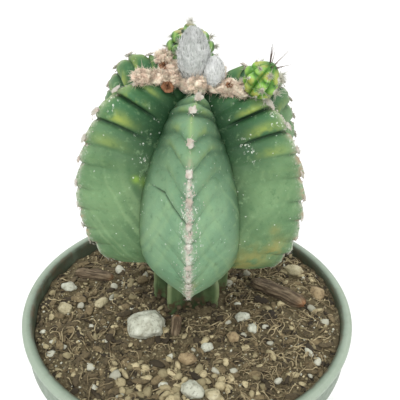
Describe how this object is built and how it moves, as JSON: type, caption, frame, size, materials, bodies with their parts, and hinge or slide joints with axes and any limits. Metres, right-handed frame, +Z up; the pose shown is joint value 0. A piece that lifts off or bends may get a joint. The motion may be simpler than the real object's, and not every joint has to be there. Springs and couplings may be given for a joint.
{
  "type": "potted kikko nudum bishops cap cactus",
  "caption": "Grafted ribbed cactus with notched ribs, woolly crown, flower buds and offsets, standing in a round plastic pot of gritty soil.",
  "frame": {"origin": "middle of the pot's base, on the surface that it stands on", "axes": "+Z up through the pot; the plant's front rib faces -Y and +X is to the viewer's right"},
  "size_m": [0.105, 0.105, 0.1773],
  "materials": {
    "pot_plastic": "satin",
    "soil": "matte",
    "stock_skin": "satin",
    "cactus_skin": "satin",
    "wool": "matte",
    "bud_hair": "matte",
    "pup_skin": "satin",
    "stone_white": "matte",
    "stone_cream": "matte",
    "stone_tan": "matte",
    "bark": "matte"
  },
  "bodies": {
    "root": {"pot": "pot_plastic", "soil": "soil", "stone_large": "stone_white", "stone_front": "stone_white", "stone_front_cream": "stone_cream", "stone_middle": "stone_tan", "stone_left": "stone_cream", "stone_left_cream": "stone_cream", "stone_left_back": "stone_white", "stone_right": "stone_white", "stone_right_small": "stone_white", "stone_right_tan": "stone_tan", "stone_front_small": "stone_white", "stone_back_right": "stone_cream", "stone_far_right": "stone_tan", "bark_right": "bark", "bark_left": "bark", "bark_chip": "bark", "rootstock": "stock_skin", "cactus_body": "cactus_skin", "crown_wool": "wool", "flower_bud_large": "bud_hair", "flower_bud_small": "bud_hair", "pup_back": "pup_skin", "pup_right": "pup_skin"}
  },
  "joints": []
}
